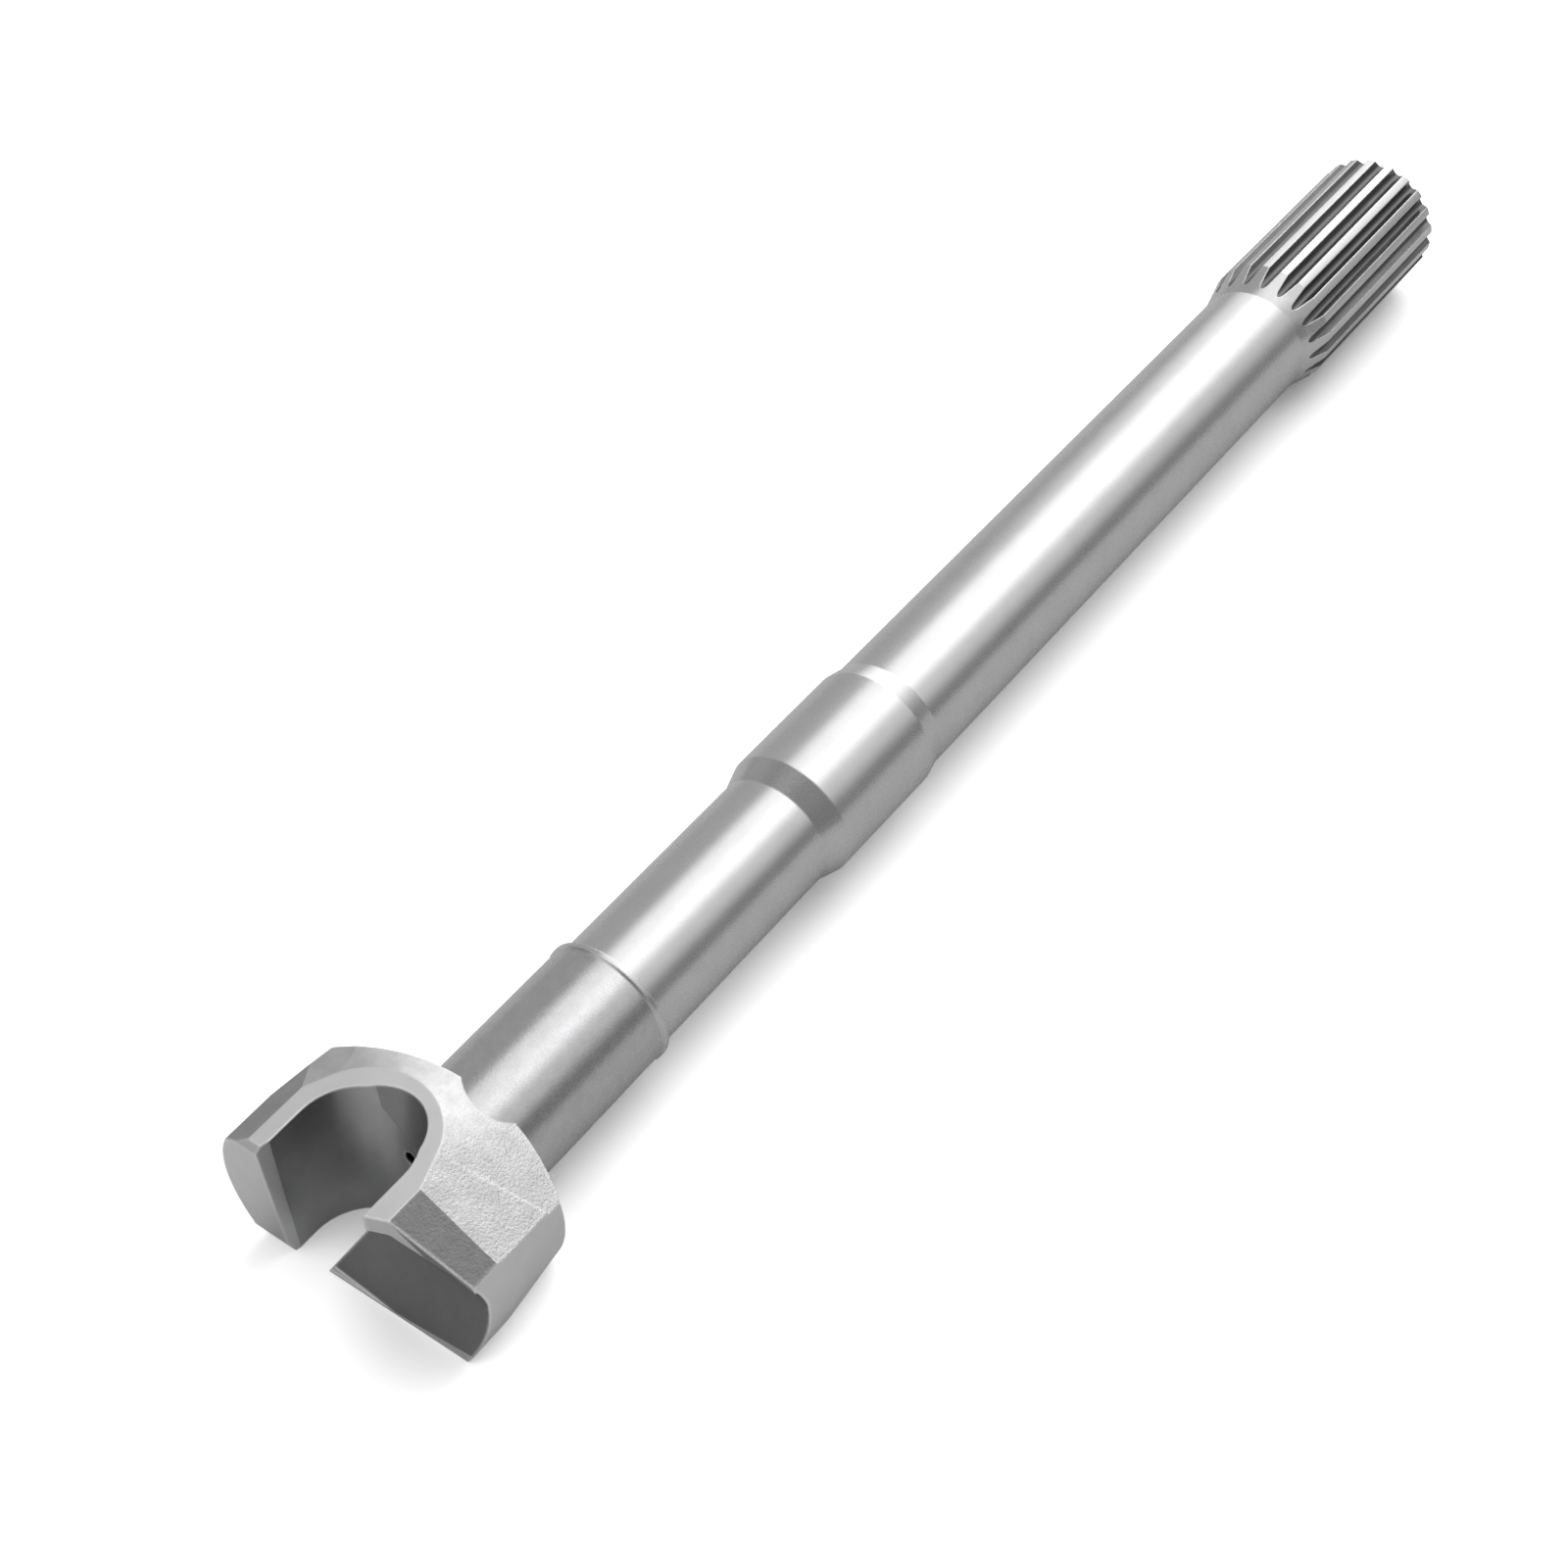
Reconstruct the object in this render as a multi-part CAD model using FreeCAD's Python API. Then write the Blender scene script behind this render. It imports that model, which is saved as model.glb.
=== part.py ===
"""Fork shaft of a driven steering axle: a jaw, a stepped shaft and a splined end in one piece of steel.

Lengths in millimetres, angles in degrees. X runs along the shaft from the jaw to the spline, Y across it,
and Z points up through the jaw. The origin lies on the shaft's axis, level with the centre of the jaw's bore
at the bottom of the head. The functions draw the pocketed arm at +Y, and the finished shaft is turned into
the hand that pocket_side asks for.
"""
import FreeCAD
import Part
import math
import os

# Shaft: diameters, and stations along X counted from the jaw's bore
journal_d = 47.5
bead_d = 48.8
mid_d = 44.5
land_d = 50.5
shaft_d = 47.0
bead_x = 107.0
bead_width = 3.0
bead_edge = 0.6
land_x = 209.0
land_length = 49.5
land_taper = 9.5
land_back_taper = 8.0

# Spline: twenty straight teeth of module 2.5 with round-bottomed grooves
spline_x = 543.0
spline_length = 92.0
spline_teeth = 20
spline_tip_d = 54.5
spline_root_d = 49.0
tooth_land = 2.9
groove_floor = 2.7
groove_rise = 1.0
run_up = 15.0
end_bevel = 1.5

# Head: a drum with a slight draft and a rounded back, flat above and below
head_height = 56.0
head_d = 100.0
head_offset_y = -5.0
head_draft_x = 8.0
head_draft = 6.0
back_round_r = 76.0
back_round_x = -25.8
back_offset_y = -3.2
back_bands = 8

# Jaw: a bore that leans back, open at the front and set towards the plain arm
jaw_bore_d = 41.7
jaw_offset_y = -13.5
jaw_lean = 7.0
relief_d = 33.6
relief_x = 13.2
relief_y = -11.5
relief_lean = 16.0

# Flat rim round the jaw, and the faces that slope away from it
rim_r = 25.4
rim_centre_x = 10.3
rim_plain_side = 5.9
rim_pocket_side = 7.6
side_slope = 27.0
back_slope = 20.0
plain_back_slope = 12.5
pocket_back_slope = 29.0
pocket_corner_turn = 19.0
pocket_corner_slope = 28.5
plain_corner_turn = 26.0
plain_corner_slope = 18.0

# Plain arm: its end stands forwards, leans back downwards, and is bevelled above, below and inside
arm_front = 12.2
arm_foot_front = 10.8
arm_top_bevel = 2.2
arm_foot_bevel = 5.0
arm_foot_setback = 1.9
arm_inner_start = 7.1
arm_inner_angle = 15.0

# Pocketed arm: a beak beside the mouth, and a coved hollow above a thin toe that reaches into the mouth
pocket_arm_front = 8.5
beak_front = 11.2
beak_width = 7.0
roof_setback = 3.2
roof_setback_width = 32.0
pocket_top = 21.0
pocket_deep_z = 3.0
pocket_depth = 8.0
pocket_bulge = 0.72
pocket_top_bulge = 0.6
pocket_turn = 3.5
pocket_roof = 1.8
toe_lip = 1.3
toe_reach = 28.3
toe_thickness = 3.0

# Blind hole in the back of the jaw
hole_d = 5.5
hole_depth = 14.0
hole_y = -10.2
hole_z = 1.5

# Hand of the shaft: -1 has the pocketed arm at -Y, and 1 has it at +Y for the other side of the axle
pocket_side = -1

big = 120.0
half = head_height / 2
bore_r = jaw_bore_d / 2
plain_flank_y = jaw_offset_y - bore_r
pocket_flank_y = jaw_offset_y + bore_r
axis_x = FreeCAD.Vector(1, 0, 0)


def point(x, y, z):
    return FreeCAD.Vector(x, y, z)


def turned(profile):
    """Solid of revolution about the shaft's axis from (x, radius) points."""
    first = point(profile[0][0], 0, 0)
    last = point(profile[-1][0], 0, 0)
    corners = [first] + [point(x, 0, r) for x, r in profile] + [last, first]
    return Part.Face(Part.makePolygon(corners)).revolve(point(0, 0, 0), axis_x, 360)


def prism(corners, direction):
    """Solid swept along a direction from a closed outline."""
    return Part.Face(Part.makePolygon(corners + [corners[0]])).extrude(direction)


def upright(plan):
    """Prism from a plan outline of (x, y) points, reaching past the head above and below."""
    bottom = -half - 1
    corners = [point(x, y, bottom) for x, y in plan]
    return prism(corners, point(0, 0, head_height + 2))


def block(x0, x1, y0, y1, z0, z1):
    return Part.makeBox(x1 - x0, y1 - y0, z1 - z0, point(x0, y0, z0))


def shaft_body():
    """Journal, bead, middle, land, long shaft and the blank of the spline, turned in one profile."""
    land_end = land_x + land_length
    spline_end = spline_x + spline_length
    profile = [
        (bore_r, journal_d / 2),
        (bead_x, journal_d / 2),
        (bead_x + bead_edge, bead_d / 2),
        (bead_x + bead_width - bead_edge, bead_d / 2),
        (bead_x + bead_width, mid_d / 2),
        (land_x - land_taper, mid_d / 2),
        (land_x, land_d / 2),
        (land_end, land_d / 2),
        (land_end + land_back_taper, shaft_d / 2),
        (spline_x - run_up, shaft_d / 2),
        (spline_x, spline_tip_d / 2),
        (spline_end - end_bevel, spline_tip_d / 2),
        (spline_end, spline_root_d / 2),
    ]
    return turned(profile)


def groove():
    """One groove between two teeth, with straight flanks and a round floor, at the top of the shaft."""
    tip_r = spline_tip_d / 2
    root_r = spline_root_d / 2
    pitch = math.pi * spline_tip_d / spline_teeth
    mouth = (pitch - tooth_land) / 2
    foot = groove_floor / 2
    spread = (mouth - foot) / (tip_r - root_r) * groove_rise
    x = spline_x - run_up
    left_top = point(x, -mouth - spread, tip_r + groove_rise)
    left_foot = point(x, -foot, root_r + groove_rise / 2)
    floor = point(x, 0, root_r)
    right_foot = point(x, foot, root_r + groove_rise / 2)
    right_top = point(x, mouth + spread, tip_r + groove_rise)
    edges = [
        Part.LineSegment(left_top, left_foot).toShape(),
        Part.Arc(left_foot, floor, right_foot).toShape(),
        Part.LineSegment(right_foot, right_top).toShape(),
        Part.LineSegment(right_top, left_top).toShape(),
    ]
    length = run_up + spline_length + end_bevel
    return Part.Face(Part.Wire(edges)).extrude(point(length, 0, 0))


def cut_spline(body):
    """The grooves run out through the conical end of the long shaft."""
    first = groove()
    grooves = []
    for i in range(spline_teeth):
        copy = first.copy()
        copy.rotate(point(0, 0, 0), axis_x, 360.0 * i / spline_teeth)
        grooves.append(copy)
    return body.cut(grooves)


def head_blank():
    """Outside of the forging: a drum round the arms, rounded off in bands behind to meet the journal."""
    radius = head_d / 2
    length = big - head_draft_x
    narrow = radius - length * math.tan(math.radians(head_draft))
    offset = point(0, head_offset_y, 0)
    front = Part.makeCylinder(radius, big, offset + point(head_draft_x - big, 0, 0), axis_x)
    rear = Part.makeCone(radius, narrow, length, offset + point(head_draft_x, 0, 0), axis_x)
    wide = math.degrees(math.asin((radius - head_offset_y) / back_round_r))
    tight = math.degrees(math.asin((journal_d / 2 + back_offset_y - 1) / back_round_r))
    profile = [(-big, radius - head_offset_y)]
    for i in range(back_bands + 1):
        turn = math.radians(wide + (tight - wide) * i / back_bands)
        profile.append((back_round_x + back_round_r * math.cos(turn), back_round_r * math.sin(turn)))
    back = turned(profile)
    back.translate(point(0, back_offset_y, 0))
    slab = block(-big, big, -big, big, -half, half)
    return back.common(front.fuse(rear)).common(slab)


def slope_cutter(distance, angle, slope):
    """Wedge above a face that slopes from the rim's edge, at a distance and plan angle from its centre."""
    drop = big * math.tan(math.radians(slope))
    corners = [
        point(distance, -big, half),
        point(distance + big, -big, half - drop),
        point(distance + big, -big, half + big),
        point(distance, -big, half + big),
    ]
    wedge = prism(corners, point(0, 2 * big, 0))
    wedge.rotate(point(0, 0, 0), point(0, 0, 1), angle)
    wedge.translate(point(rim_centre_x, jaw_offset_y, 0))
    return wedge


def side_slope_cutter():
    """Wedge above the sloping face of the pocketed arm."""
    return slope_cutter(bore_r + rim_pocket_side, 90, side_slope)


def ray_end(angle):
    """Point far out from the rim's centre, at a plan angle."""
    turn = math.radians(angle)
    return (rim_centre_x + 2 * big * math.cos(turn), jaw_offset_y + 2 * big * math.sin(turn))


def leaning_cone():
    """Cone behind the rim whose slope grows from the plain arm's side to the pocketed arm's side."""
    back_run = head_height / math.tan(math.radians(back_slope))
    plain_run = head_height / math.tan(math.radians(plain_back_slope))
    pocket_run = head_height / math.tan(math.radians(pocket_back_slope))
    foot_r = rim_r + (plain_run + pocket_run) / 2
    foot_x = rim_centre_x + rim_r + back_run - foot_r
    foot_y = jaw_offset_y + (pocket_run - plain_run) / 2
    upwards = point(0, 0, 1)
    rim = Part.makeCircle(rim_r, point(rim_centre_x, jaw_offset_y, half), upwards)
    foot = Part.makeCircle(foot_r, point(foot_x, foot_y, -half), upwards)
    return Part.makeLoft([Part.Wire(rim), Part.Wire(foot)], True, True)


def shoulders():
    """Body whose upper faces slope away from the rim: a cone behind, flat faces beside the arms."""
    cone = leaning_cone()
    pocket_angle = 90 - pocket_corner_turn
    plain_angle = plain_corner_turn - 90
    front_plan = [
        (rim_centre_x, jaw_offset_y),
        ray_end(pocket_angle),
        (-big, 2 * big),
        (-big, -2 * big),
        ray_end(plain_angle),
    ]
    body = cone.fuse(upright(front_plan))
    return body.cut([
        side_slope_cutter(),
        slope_cutter(rim_r, pocket_angle, pocket_corner_slope),
        slope_cutter(bore_r + rim_plain_side, -90, side_slope),
        slope_cutter(rim_r, plain_angle, plain_corner_slope),
    ])


def leaning_cylinder(radius, x, y, lean, anchor_z):
    """Long cylinder that leans back upwards and passes a point at a given height."""
    turn = math.radians(lean)
    direction = point(math.sin(turn), 0, math.cos(turn))
    return Part.makeCylinder(radius, 2 * big, point(x, y, anchor_z) - direction * big, direction)


def jaw_room():
    """Bore and mouth of the jaw, with a narrower relief behind the bore at the top."""
    bore = leaning_cylinder(bore_r, 0, jaw_offset_y, jaw_lean, -half)
    relief = leaning_cylinder(relief_d / 2, relief_x, relief_y, relief_lean, half)
    above = half + 1
    top_x = (head_height + 1) * math.tan(math.radians(jaw_lean))
    side = [
        point(-big, plain_flank_y, -above),
        point(0, plain_flank_y, -above),
        point(top_x, plain_flank_y, above),
        point(-big, plain_flank_y, above),
    ]
    mouth = prism(side, point(0, jaw_bore_d, 0))
    behind = block(0, big, -big, big, -above, above)
    return bore.common(behind).fuse([mouth, relief.common(behind)])


def plain_arm_room():
    """Everything in front of the plain arm's end."""
    side = [
        (-arm_front + arm_top_bevel, half + 1),
        (-arm_front + arm_top_bevel, half),
        (-arm_front, half - arm_top_bevel),
        (-arm_foot_front, arm_foot_bevel - half),
        (-arm_foot_front + arm_foot_setback, -half),
        (-arm_foot_front + arm_foot_setback, -half - 1),
        (-big, -half - 1),
        (-big, half + 1),
    ]
    front = prism([point(x, plain_flank_y, z) for x, z in side], point(0, -big, 0))
    run = big - arm_inner_start
    inner_bevel = upright([
        (-arm_inner_start, plain_flank_y),
        (-big, plain_flank_y),
        (-big, plain_flank_y - run * math.tan(math.radians(arm_inner_angle))),
    ])
    return front.fuse(inner_bevel)


def pocket_arm_room():
    """Everything in front of the pocketed arm's end, apart from the beak beside the mouth."""
    beside_beak = upright([
        (-beak_front, plain_flank_y),
        (-beak_front, pocket_flank_y),
        (-pocket_arm_front, pocket_flank_y + beak_width),
        (-pocket_arm_front, big),
        (-big, big),
        (-big, plain_flank_y),
    ])
    below = block(-big, -pocket_arm_front, plain_flank_y, big, -half - 1, pocket_top)
    lean_start = pocket_flank_y + beak_width
    lean_end = lean_start + roof_setback_width
    lean_plan = [
        point(-pocket_arm_front, lean_start, pocket_deep_z),
        point(roof_setback - pocket_arm_front, lean_end, pocket_deep_z),
        point(-pocket_arm_front, lean_end, pocket_deep_z),
    ]
    lean = prism(lean_plan, point(0, 0, half))
    return beside_beak.fuse([below, lean])


def toe():
    """Plate in the lower corner of the mouth: its free edge slopes from the arm down to the toe's tip."""
    corners = [
        point(-pocket_arm_front, pocket_flank_y - toe_reach, -half),
        point(-pocket_arm_front, pocket_flank_y + 1, -half),
        point(-pocket_arm_front, pocket_flank_y + 1, pocket_top),
        point(-pocket_arm_front, pocket_flank_y, pocket_top),
    ]
    return prism(corners, point(pocket_arm_front + toe_thickness, 0, 0))


def pocket():
    """Coved hollow in the end of the pocketed arm and the toe. It gets shallower towards the outside."""
    front = -pocket_arm_front
    foot_z = toe_lip - half
    low = point(front, 0, foot_z)
    lower_bend = point(front + pocket_bulge * pocket_depth, 0, (pocket_deep_z + foot_z) / 2)
    deep = point(front + pocket_depth, 0, pocket_deep_z)
    upper_bend_z = pocket_deep_z + pocket_top_bulge * (pocket_top - pocket_deep_z)
    upper_bend = point(front + pocket_top_bulge * pocket_depth, 0, upper_bend_z)
    high = point(front, 0, pocket_top)
    far_high = point(front - big, 0, pocket_top)
    far_low = point(front - big, 0, foot_z)
    edges = [
        Part.Arc(low, lower_bend, deep).toShape(),
        Part.Arc(deep, upper_bend, high).toShape(),
        Part.LineSegment(high, far_high).toShape(),
        Part.LineSegment(far_high, far_low).toShape(),
        Part.LineSegment(far_low, low).toShape(),
    ]
    turn = math.radians(pocket_turn)
    along = point(-math.sin(turn), math.cos(turn), 0)
    outline = Part.Face(Part.Wire(edges))
    outline.translate(point(0, pocket_flank_y, 0) - along * big)
    cove = outline.extrude(along * (2 * big))
    beside = block(-big, big, plain_flank_y, big, -half, half)
    roof = side_slope_cutter()
    roof.translate(point(0, 0, -pocket_roof))
    return cove.common(beside).cut(roof)


def build():
    head = head_blank().common(shoulders())
    head = head.cut([plain_arm_room(), pocket_arm_room(), jaw_room()])
    head = head.fuse(toe()).cut(pocket())
    hole = Part.makeCylinder(hole_d / 2, hole_depth + bore_r, point(0, hole_y, hole_z), axis_x)
    body = cut_spline(shaft_body()).cut(jaw_room())
    shaft = head.fuse(body).cut(hole).removeSplitter()
    if pocket_side < 0:
        shaft = shaft.mirror(point(0, 0, 0), point(0, 1, 0))
    return shaft


if __name__ == "__main__":
    os.makedirs("parts", exist_ok=True)
    shaft = build()
    print("solids", len(shaft.Solids), "valid", shaft.isValid(), "volume", round(shaft.Volume))
    shaft.exportStep("parts/fork_shaft.step")
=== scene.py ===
import bmesh
import bpy
import math
from mathutils import Matrix, Vector


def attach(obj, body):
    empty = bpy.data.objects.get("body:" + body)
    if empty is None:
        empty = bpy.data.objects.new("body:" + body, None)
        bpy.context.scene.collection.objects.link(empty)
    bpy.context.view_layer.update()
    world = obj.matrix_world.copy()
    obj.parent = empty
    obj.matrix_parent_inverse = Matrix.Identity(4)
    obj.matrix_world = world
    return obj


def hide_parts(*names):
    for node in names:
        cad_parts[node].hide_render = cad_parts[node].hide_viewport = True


# The axle shaft lies on a white studio floor and is seen from in front of its jaw. The shaft runs
# along x, with the head at the low end. Lengths are in metres, and in millimetres where that is said.

# ---------------------------------------------------------------- frame
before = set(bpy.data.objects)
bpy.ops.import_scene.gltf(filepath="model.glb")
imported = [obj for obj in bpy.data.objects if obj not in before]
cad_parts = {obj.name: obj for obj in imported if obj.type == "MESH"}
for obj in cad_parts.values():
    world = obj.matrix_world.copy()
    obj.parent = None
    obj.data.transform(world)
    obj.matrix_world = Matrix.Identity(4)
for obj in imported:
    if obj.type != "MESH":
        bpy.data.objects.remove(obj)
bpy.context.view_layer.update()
shaft_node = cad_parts["fork_shaft"]

MM = 0.001


# ---------------------------------------------------------------- small helpers
def srgb(code):
    """Linear colour from an sRGB hex code."""
    parts = [int(code[i:i + 2], 16) / 255 for i in (1, 3, 5)]
    linear = [p / 12.92 if p <= 0.04045 else ((p + 0.055) / 1.055) ** 2.4 for p in parts]
    return (*linear, 1.0)


def add(tree, kind, settings=None, **inputs):
    """Adds a node with its settings. An input is named with underscores, or with i and its number:
    a socket is linked to it, and any other value is set."""
    node = tree.nodes.new(kind)
    for key, value in (settings or {}).items():
        setattr(node, key, value)
    for key, value in inputs.items():
        name = int(key[1:]) if key[0] == "i" and key[1:].isdigit() else key.replace("_", " ")
        socket = node.inputs[name]
        if isinstance(value, bpy.types.NodeSocket):
            tree.links.new(value, socket)
        else:
            socket.default_value = value
    return node


def new_tree(owner):
    """Empty node tree of a material or a world."""
    owner.use_nodes = True
    owner.node_tree.nodes.clear()
    return owner.node_tree


# ---------------------------------------------------------------- steel
# Noise: octaves of the patches and of the grain, and the part of each that is stretched to full contrast
PATCH_DETAIL = 3.0
GRAIN_DETAIL = 4.0
GRAIN_HARSHNESS = 0.6
PATCH_RANGE = (0.35, 0.65)
GRAIN_RANGE = (0.3, 0.7)
# How far the grain takes the roughness up and down
ROUGH_SPREAD = 0.06
# Small round over which the light turns at every edge
EDGE_RADIUS = 0.9 * MM
EDGE_SAMPLES = 4
# Painted highlight on the edges: how far the rounded normal leaves the face's own (as a cosine) where
# the painted highlight starts and where it is full, how much of it shows, and the pale grey painted on
# as the highlight
EDGE_HIGHLIGHT_START = 0.99
EDGE_HIGHLIGHT_FULL = 0.90
EDGE_HIGHLIGHT_SHARE = 0.8
EDGE_HIGHLIGHT_SAMPLES = 6
EDGE_HIGHLIGHT_GREY = "#f4f4f4"


def steel(name, dark, light, rough, grain_mm, depth_mm, patch_mm=9.0, squeeze=(1, 1, 1),
          fade_mm=None, edge_mm=1.8):
    """Steel whose grey drifts between two tones in patches, with a grain in relief and a painted
    highlight along its edges.
    The grain may be squeezed along an axis, and it may fade in between two places along y."""
    material = bpy.data.materials.new(name)
    tree = new_tree(material)
    place = add(tree, "ShaderNodeTexCoord").outputs["Object"]
    drawn = add(tree, "ShaderNodeMapping", None, Vector=place, Scale=squeeze).outputs[0]
    patches = add(
        tree, "ShaderNodeTexNoise", None, Vector=place, Scale=1 / (patch_mm * MM), Detail=PATCH_DETAIL,
    )
    grain = add(
        tree, "ShaderNodeTexNoise", None, Vector=drawn, Scale=1 / (grain_mm * MM), Detail=GRAIN_DETAIL,
        Roughness=GRAIN_HARSHNESS,
    )
    tone = add(
        tree, "ShaderNodeMapRange", None, Value=patches.outputs[0],
        From_Min=PATCH_RANGE[0], From_Max=PATCH_RANGE[1],
    )
    colour = add(
        tree, "ShaderNodeMix", {"data_type": "RGBA"}, i0=tone.outputs[0], i6=srgb(dark), i7=srgb(light),
    )
    roughness = add(
        tree, "ShaderNodeMapRange", None, Value=grain.outputs[0],
        From_Min=GRAIN_RANGE[0], From_Max=GRAIN_RANGE[1],
        To_Min=rough - ROUGH_SPREAD, To_Max=rough + ROUGH_SPREAD,
    )
    relief = add(
        tree, "ShaderNodeBump", None, Height=grain.outputs[0], Distance=depth_mm * MM, Strength=1.0,
    )
    if fade_mm:
        across = add(tree, "ShaderNodeSeparateXYZ", None, Vector=place).outputs[1]
        fade = add(
            tree, "ShaderNodeMapRange", None, Value=across,
            From_Min=fade_mm[0] * MM, From_Max=fade_mm[1] * MM,
        )
        tree.links.new(fade.outputs[0], relief.inputs["Strength"])
    softened = add(
        tree, "ShaderNodeBevel", {"samples": EDGE_SAMPLES}, Radius=EDGE_RADIUS, Normal=relief.outputs[0],
    )
    # Painted highlight along the edges: where the rounded normal turns away from the face's own, the
    # grey is mixed towards a pale grey
    rounded = add(tree, "ShaderNodeBevel", {"samples": EDGE_HIGHLIGHT_SAMPLES}, Radius=edge_mm * MM)
    own = add(tree, "ShaderNodeNewGeometry").outputs["Normal"]
    agreement = add(
        tree, "ShaderNodeVectorMath", {"operation": "DOT_PRODUCT"}, i0=rounded.outputs[0], i1=own,
    )
    edge_highlight = add(
        tree, "ShaderNodeMapRange", None, Value=agreement.outputs["Value"],
        From_Min=EDGE_HIGHLIGHT_START, From_Max=EDGE_HIGHLIGHT_FULL, To_Max=EDGE_HIGHLIGHT_SHARE,
    )
    highlighted = add(
        tree, "ShaderNodeMix", {"data_type": "RGBA"},
        i0=edge_highlight.outputs[0], i6=colour.outputs[2], i7=srgb(EDGE_HIGHLIGHT_GREY),
    )
    surface = add(
        tree, "ShaderNodeBsdfPrincipled", None, Base_Color=highlighted.outputs[2], Metallic=1.0,
        Roughness=roughness.outputs[0], Normal=softened.outputs[0],
    )
    add(tree, "ShaderNodeOutputMaterial", None, Surface=surface.outputs[0])
    return material


# The real grain is a few hundredths of a millimetre on the machined faces and about three tenths on the
# blasted and forged ones. Both are too fine for the render, where a pixel covers 0.3 to 0.4 mm, so the
# grain is drawn coarser, 0.6 to 1 mm wide.

# Ground steel of the shaft, the land, the bead and the spline's tips: bright, with a grain that runs
# round the shaft and draws the light out into one long soft streak
GROUND = steel(
    "ground steel", "#c2c2c3", "#c6c6c7", rough=0.27, grain_mm=0.7, depth_mm=0.003,
    squeeze=(3, 1, 1), edge_mm=0.6,
)
# Blasted steel of the journal: slightly sandy, so that the streak of light breaks up
BLASTED = steel(
    "blasted steel", "#b4b4b5", "#bababb", rough=0.25, grain_mm=0.8, depth_mm=0.03,
    patch_mm=4.0, edge_mm=0.6,
)
# Milled steel of the rim and of the arms' ends: pale, flat and even
MILLED = steel("milled steel", "#d2d2d3", "#d6d6d7", rough=0.38, grain_mm=0.6, depth_mm=0.004)
# Forged skin beside the pocket: dark and grainy
DARK_SKIN = steel(
    "dark forged skin", "#7c7c7d", "#828283", rough=0.42, grain_mm=1.0, depth_mm=0.16, patch_mm=4.0,
)
# Forged skin round the back of the head: pale and cloudy, and rough and sparkling towards the pocket
PALE_SKIN = steel(
    "pale forged skin", "#bcbcbc", "#c8c8c8", rough=0.42, grain_mm=1.0, depth_mm=0.36,
    patch_mm=6.0, fade_mm=(0, -16),
)
# Forged skin beside the plain arm: an even middle grey
SIDE_SKIN = steel(
    "side forged skin", "#a2a2a2", "#aaaaaa", rough=0.40, grain_mm=1.0, depth_mm=0.03, patch_mm=6.0,
)
# Turned steel of the drum round the arms: pale satin
TURNED = steel("turned steel", "#cececf", "#d2d2d3", rough=0.36, grain_mm=0.8, depth_mm=0.004)
# Bored steel of the jaw: satin, with painted shade of the jaw that makes it a little darker than the
# drum
SHADED_BORE = steel("bored steel with painted shade", "#b6b6b7", "#babbbb", rough=0.34, grain_mm=0.8, depth_mm=0.004)
# Bored steel of the relief behind it: painted shade makes the hollow darker, so that its crease can be
# seen
RELIEF_SHADE = steel("relief steel with painted shade", "#909091", "#949495", rough=0.36, grain_mm=0.8, depth_mm=0.004)
# Milled steel of the pocket: satin, made dark by painted shade of the hollow
POCKET_SHADE = steel("pocket steel with painted shade", "#848485", "#88888a", rough=0.40, grain_mm=1.0, depth_mm=0.004)
# Hobbed steel between the spline's teeth: painted shade makes dark lines between bright tips
TOOTH_GAP_SHADE = steel(
    "tooth gap steel with painted shade", "#5c5c5d", "#626263", rough=0.30, grain_mm=0.8, depth_mm=0.004, edge_mm=0.6,
)
# Drilled steel inside the blind hole: painted shade of the deep hole makes it nearly black
HOLE_SHADE = steel("hole steel with painted shade", "#1c1c1c", "#262626", rough=0.60, grain_mm=0.8, depth_mm=0.005)
FINISHES = [
    GROUND, BLASTED, MILLED, DARK_SKIN, PALE_SKIN, SIDE_SKIN, TURNED, SHADED_BORE, RELIEF_SHADE, POCKET_SHADE, TOOTH_GAP_SHADE,
    HOLE_SHADE,
]

# ---------------------------------------------------------------- where each finish lies
# Places are in millimetres. A value named for a direction is that part of a face's normal, from -1 to 1.

# The journal comes out of the back of the head. Its faces point away from the shaft's axis.
JOURNAL_START = 36.0
JOURNAL_END = 107.0
JOURNAL_RADIUS = 24.2
JOURNAL_FORWARD = 0.3

# The spline: where its grooves start and stop, where they are full, and how far out the tips begin
GROOVES_START = 532.0
GROOVES_FULL = 545.0
GROOVES_STOP = 634.5
TIP_RADIUS = 26.0
TIP_OUTWARD = 0.9


def shaft_finish(x, y, z, normal):
    """The finish of a face behind the head."""
    radius = math.hypot(y, z)
    outward = (normal.y * y + normal.z * z) / radius if radius else 0.0
    if x < JOURNAL_END:
        return BLASTED
    # The gaps between the teeth get the steel with painted shade
    in_gap = outward < TIP_OUTWARD or (x > GROOVES_FULL and radius < TIP_RADIUS)
    return TOOTH_GAP_SHADE if GROOVES_START < x < GROOVES_STOP and in_gap else GROUND


# The blind hole in the back of the jaw: its axis along x, its reach round the axis, its start and end
HOLE_Y = 10.2
HOLE_Z = 1.5
HOLE_REACH = 2.9
HOLE_START = 22.0
HOLE_END = 36.0

# The rim and the underside are level and at the top and the bottom of the head
LEVEL_UPWARD = 0.98
LEVEL_HEIGHT = 27.0

# The pocket lies on its arm's side of POCKET_SIDE, between its front and back and below its top, and
# faces forward
POCKET_SIDE = 21.5
POCKET_FRONT = -8.45
POCKET_BACK = 3.5
POCKET_TOP = 21.5
POCKET_FORWARD = -0.15

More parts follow.
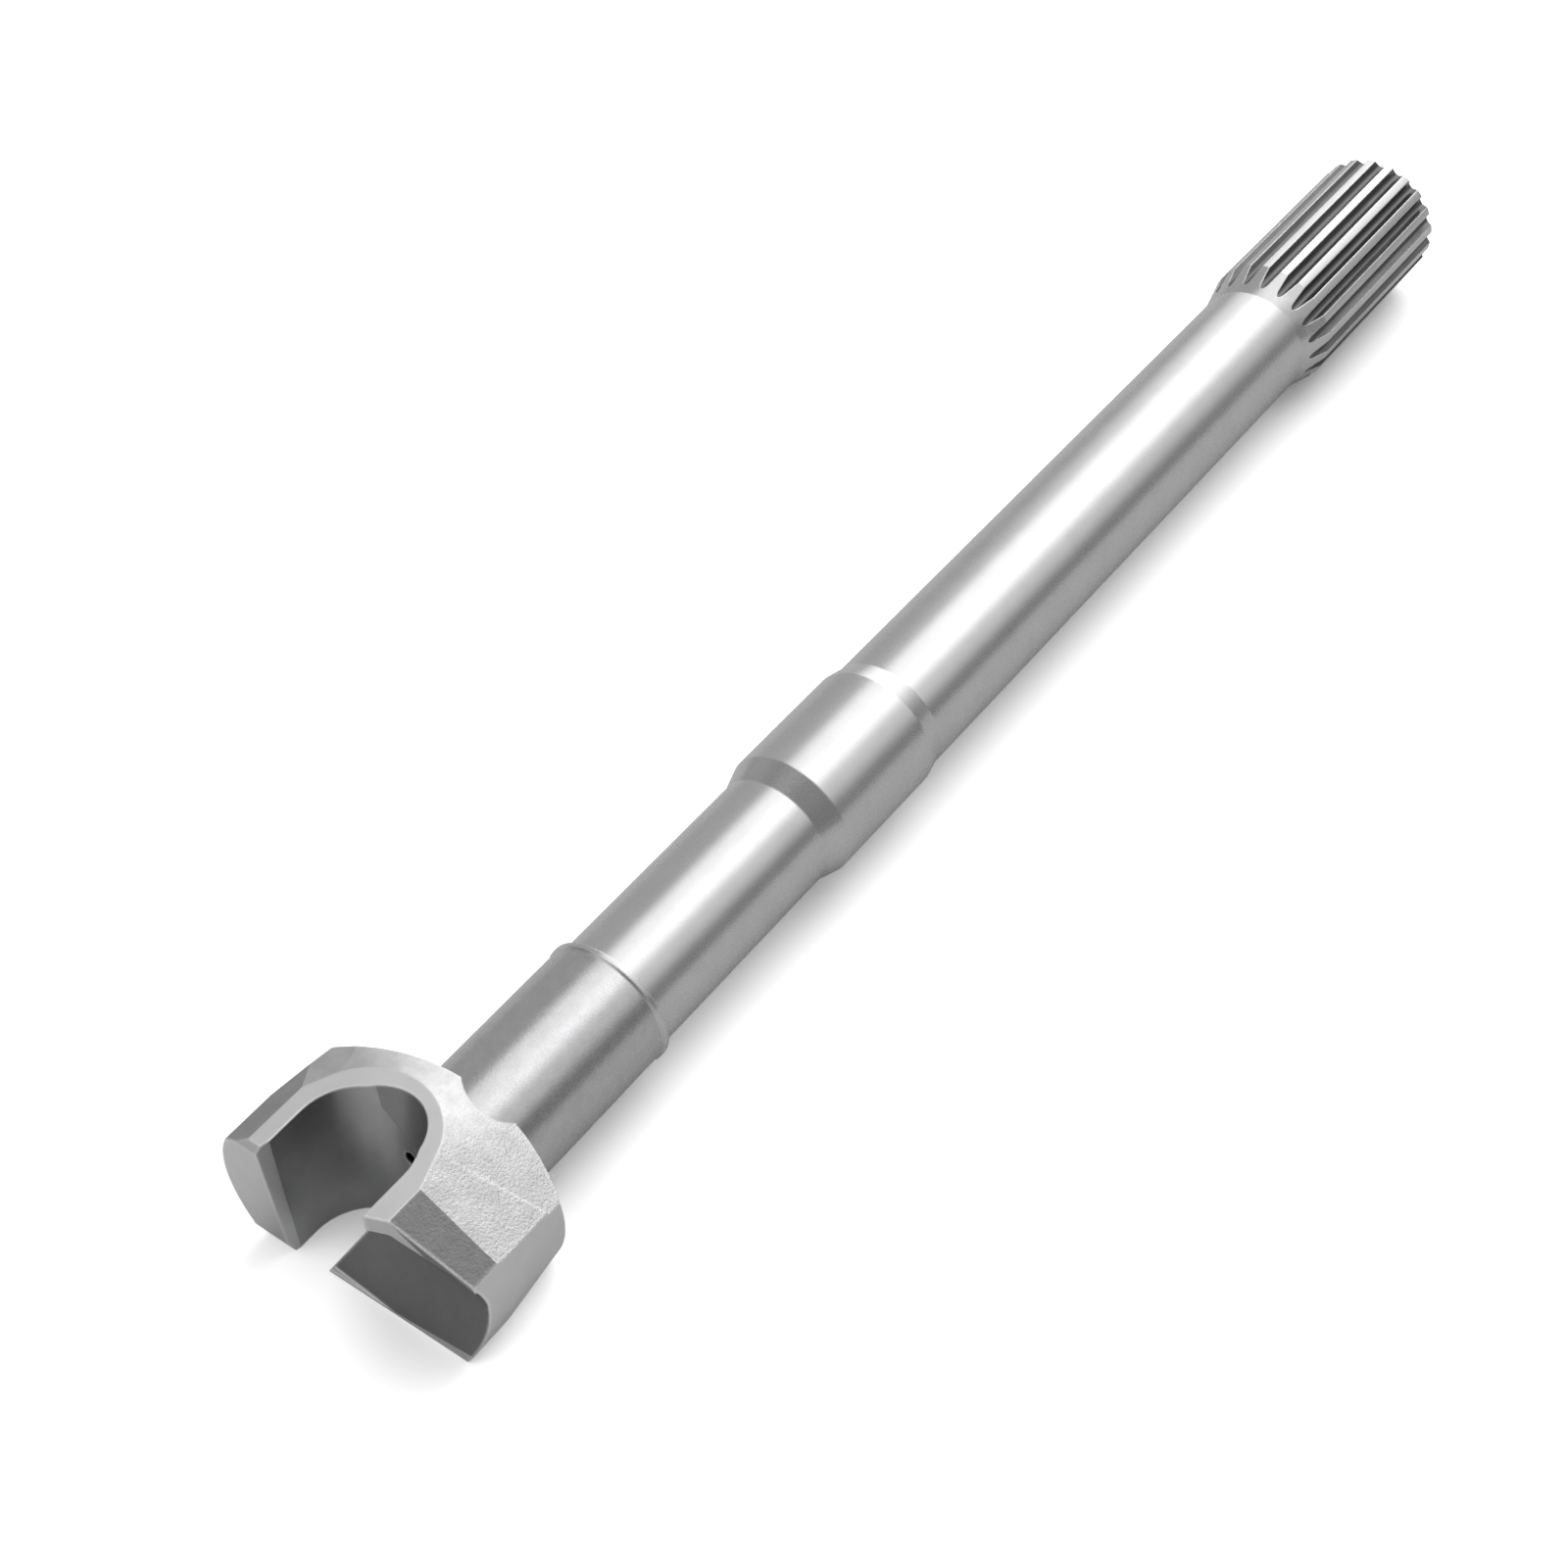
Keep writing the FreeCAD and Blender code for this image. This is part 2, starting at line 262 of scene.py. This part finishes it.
# The bore leans back by BORE_LEAN over the head's height. It and its flat walls on the arms lie within
# BORE_REACH of its leaning axis and between two limits along y, and their faces look level and into the
# jaw. The relief begins a little outside the bore's radius.
HEAD_HEIGHT = 56
UNDERSIDE = 28
BORE_LEAN = 7
BORE_Y = 13.5
BORE_REACH = 23.0
BORE_UPWARD = 0.6
BORE_BACKWARD = 0.2
BORE_WALLS = (-7.6, 34.6)
RELIEF_RADIUS = 21.2
RELIEF_FRONT = 4.0

# The arms' ends face forward. The plain arm's end has a bevel on its inner side.
END_FORWARD = -0.85
BEVEL_FRONT = -6.5
BEVEL_SIDE = 34.0
BEVEL_INWARD = -0.5

# The drum is steeper than SLOPE_UPWARD, and the facets beside the arms face up and sideways
SLOPE_UPWARD = 0.8
FACET_FORWARD = 0.1
FACET_SIDEWAYS = 0.4


def head_finish(x, y, z, normal):
    """The finish of a face on the head."""
    # The blind hole is painted nearly black as its shade
    if math.hypot(y - HOLE_Y, z - HOLE_Z) < HOLE_REACH and HOLE_START < x < HOLE_END:
        return HOLE_SHADE
    if abs(normal.z) > LEVEL_UPWARD and abs(z) > LEVEL_HEIGHT:
        return MILLED
    in_pocket = y < POCKET_SIDE and POCKET_FRONT < x < POCKET_BACK and z < POCKET_TOP
    # The pocket's forward faces get milled steel with painted shade
    if in_pocket and normal.x < POCKET_FORWARD:
        return POCKET_SHADE
    from_bore = math.hypot(x - BORE_LEAN * (z + UNDERSIDE) / HEAD_HEIGHT, y - BORE_Y)
    in_jaw = from_bore < BORE_REACH and BORE_WALLS[0] < y < BORE_WALLS[1]
    if in_jaw and abs(normal.z) < BORE_UPWARD and normal.x < BORE_BACKWARD:
        # The jaw's faces get painted shade, darker still in the relief behind the bore
        return RELIEF_SHADE if from_bore > RELIEF_RADIUS and x > RELIEF_FRONT else SHADED_BORE
    on_bevel = x < BEVEL_FRONT and y > BEVEL_SIDE and normal.y < BEVEL_INWARD
    if normal.x < END_FORWARD or on_bevel:
        return MILLED
    if normal.z < SLOPE_UPWARD:
        return TURNED
    if abs(normal.x) < FACET_FORWARD and abs(normal.y) > FACET_SIDEWAYS:
        return DARK_SKIN if normal.y < 0 else SIDE_SKIN
    return PALE_SKIN


def finish_at(centre, normal):
    """The finish of a face from where its middle lies and which way it points."""
    x, y, z = centre
    outside_head = x > JOURNAL_START and math.hypot(y, z) < JOURNAL_RADIUS
    if x > JOURNAL_END or (outside_head and abs(normal.x) < JOURNAL_FORWARD):
        return shaft_finish(x, y, z, normal)
    return head_finish(x, y, z, normal)


# ---------------------------------------------------------------- crisp edges
# Places along the shaft where a step or a taper has a crisp edge, in millimetres, and how near is on it
TURNED_EDGES = (107.0, 107.6, 109.4, 110.0, 199.5, 209.0, 258.5, 266.5, 528.0, 543.0)
ON_EDGE = 0.02
CREASE_ANGLE = math.radians(22)
# Flat facets on the head's upper side: smallest area in square millimetres, and smallest upward part of
# the normal
FACET_AREA = 60.0
FACET_UPWARD = 0.45
# Corners closer than this, in metres, are one corner
WELD = 1e-6


def way_of(face):
    """A face's normal, rounded, so that the triangles of one flat facet agree."""
    return tuple(round(part, 2) + 0.0 for part in face.normal)


def flat_facets(bm):
    """Normals of the large flat facets on the head's upper side."""
    area = {}
    for face in bm.faces:
        if face.normal.z > FACET_UPWARD and face.calc_center_median().x < JOURNAL_START * MM:
            area[way_of(face)] = area.get(way_of(face), 0.0) + face.calc_area() / MM ** 2
    return {way for way, total in area.items() if total > FACET_AREA}


def crease_edges(bm):
    """Keeps an edge crisp round a flat facet, between finishes, at a turned step and at a steep bend."""
    flats = flat_facets(bm)
    for edge in bm.edges:
        if len(edge.link_faces) != 2:
            continue
        one, other = edge.link_faces
        ways = [way_of(one), way_of(other)]
        on_head = any(vert.co.x < JOURNAL_START * MM for vert in edge.verts)
        beside_flat = on_head and ways[0] != ways[1] and (ways[0] in flats or ways[1] in flats)
        two_finishes = one.material_index != other.material_index
        at_step = any(
            all(abs(vert.co.x / MM - x) < ON_EDGE for vert in edge.verts) for x in TURNED_EDGES
        )
        if beside_flat or two_finishes or at_step or edge.calc_face_angle(0.0) > CREASE_ANGLE:
            edge.smooth = False


# ---------------------------------------------------------------- shaft
def build_shaft():
    """The CAD solid with welded corners, smooth rounds, crisp edges and a finish on each face."""
    mesh = shaft_node.data.copy()
    mesh.transform(shaft_node.matrix_world)
    mesh.materials.clear()
    for material in FINISHES:
        mesh.materials.append(material)
    bm = bmesh.new()
    bm.from_mesh(mesh)
    bmesh.ops.remove_doubles(bm, verts=bm.verts, dist=WELD)
    for edge in bm.edges:
        edge.smooth = True
    for face in bm.faces:
        face.smooth = True
        finish = finish_at(face.calc_center_median() / MM, face.normal)
        face.material_index = FINISHES.index(finish)
    crease_edges(bm)
    bm.to_mesh(mesh)
    bm.free()
    piece = bpy.data.objects.new("shaft_look", mesh)
    bpy.context.scene.collection.objects.link(piece)
    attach(piece, "root")
    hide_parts("fork_shaft")


build_shaft()

# ---------------------------------------------------------------- floor
FLOOR_Z = -UNDERSIDE * MM
FLOOR_HALF_WIDTH = 6.0
FLOOR_WHITE = "#e6e6e6"


def build_floor():
    """Matt white studio floor. For the camera a second matt layer doubles its light, so that it is plain
    white with the shaft's soft shadow on it."""
    mesh = bpy.data.meshes.new("floor")
    bm = bmesh.new()
    bmesh.ops.create_grid(bm, x_segments=1, y_segments=1, size=FLOOR_HALF_WIDTH)
    bmesh.ops.translate(bm, verts=bm.verts, vec=(0, 0, FLOOR_Z))
    bm.to_mesh(mesh)
    bm.free()
    floor = bpy.data.objects.new("floor", mesh)
    bpy.context.scene.collection.objects.link(floor)
    material = bpy.data.materials.new("white studio floor")
    tree = new_tree(material)
    seen = add(tree, "ShaderNodeLightPath").outputs["Is Camera Ray"]
    base = add(
        tree, "ShaderNodeMix", {"data_type": "RGBA"}, i0=seen, i6=srgb(FLOOR_WHITE), i7=srgb("#ffffff"),
    )
    matt = add(tree, "ShaderNodeBsdfDiffuse", None, Color=base.outputs[2])
    lift = add(
        tree, "ShaderNodeMix", {"data_type": "RGBA"}, i0=seen, i6=srgb("#000000"), i7=srgb("#ffffff"),
    )
    lifted = add(tree, "ShaderNodeBsdfDiffuse", None, Color=lift.outputs[2])
    both = add(tree, "ShaderNodeAddShader", None, i0=matt.outputs[0], i1=lifted.outputs[0])
    add(tree, "ShaderNodeOutputMaterial", None, Surface=both.outputs[0])
    mesh.materials.append(material)


build_floor()

# ---------------------------------------------------------------- light
# Grey of the room between the lights
ROOM_LEVEL = 0.28
# Level of the sky that the camera sees
WHITE = 1.0
# Soft lights in the sky: direction, half-angles of the full light and of its faded edge in degrees, and
# strength
SKY_LIGHTS = [
    ((0.54, 0.02, 0.84), 10, 32, 1.4),      # above the spline: the long streak
    ((0.54, -0.46, 0.70), 0, 35, 0.75),     # beside the first, on the pocket's side: widens the streak
    ((0.54, 0.75, 0.38), 5, 45, 0.28),      # low on the plain arm's side: the shaft's far flank
    ((0.93, 0.20, 0.30), 8, 34, 1.65),      # low behind the spline: the back of the head
    ((-0.55, 0.30, 0.78), 8, 36, 0.9),      # above and in front of the jaw: the forward faces, the floor
]


def sky_light(tree, towards, full_degrees, edge_degrees, strength):
    """Level of one soft round light in the sky."""
    look = add(tree, "ShaderNodeTexCoord").outputs["Generated"]
    facing = add(
        tree, "ShaderNodeVectorMath", {"operation": "DOT_PRODUCT"},
        i0=look, i1=Vector(towards).normalized(),
    )
    return add(
        tree, "ShaderNodeMapRange", {"interpolation_type": "SMOOTHSTEP"}, Value=facing.outputs["Value"],
        From_Min=math.cos(math.radians(edge_degrees)), From_Max=math.cos(math.radians(full_degrees)),
        To_Min=0.0, To_Max=strength,
    ).outputs[0]


def build_world():
    """Studio sky: a grey room with soft lights in it, and white where the camera sees it."""
    world = bpy.data.worlds.new("studio")
    bpy.context.scene.world = world
    tree = new_tree(world)
    total = ROOM_LEVEL
    for light in SKY_LIGHTS:
        total = add(
            tree, "ShaderNodeMath", {"operation": "ADD"}, i0=sky_light(tree, *light), i1=total,
        ).outputs[0]
    seen = add(tree, "ShaderNodeLightPath").outputs["Is Camera Ray"]
    level = add(tree, "ShaderNodeMix", None, i0=seen, i2=total, i3=WHITE)
    sky = add(tree, "ShaderNodeBackground", None, Color=(1, 1, 1, 1), Strength=level.outputs[0])
    add(tree, "ShaderNodeOutputWorld", None, Surface=sky.outputs[0])


build_world()

# ---------------------------------------------------------------- camera
# Place and axes of the camera, fitted to the photo's view of the shaft
CAMERA_PLACE = Vector((-0.28728, -0.39718, 0.67854))
CAMERA_RIGHT = Vector((0.59152, -0.80519, -0.04206))
CAMERA_UP = Vector((0.59938, 0.40424, 0.69089))
CAMERA_BACK = Vector((-0.53929, -0.43389, 0.72174))
# Lens and sensor width in millimetres, and how near and far it sees
LENS = 61.875
SENSOR_WIDTH = 36.0
NEAREST = 0.05
FARTHEST = 50.0


def build_camera():
    """The photo's viewpoint: above and in front of the jaw, looking along the shaft."""
    camera = bpy.data.objects.new("camera", bpy.data.cameras.new("camera"))
    bpy.context.scene.collection.objects.link(camera)
    turn = Matrix((CAMERA_RIGHT, CAMERA_UP, CAMERA_BACK)).transposed().to_4x4()
    camera.matrix_world = Matrix.Translation(CAMERA_PLACE) @ turn
    camera.data.sensor_width = SENSOR_WIDTH
    camera.data.lens = LENS
    camera.data.clip_start = NEAREST
    camera.data.clip_end = FARTHEST
    bpy.context.scene.camera = camera


build_camera()
bpy.context.scene.view_settings.view_transform = "Standard"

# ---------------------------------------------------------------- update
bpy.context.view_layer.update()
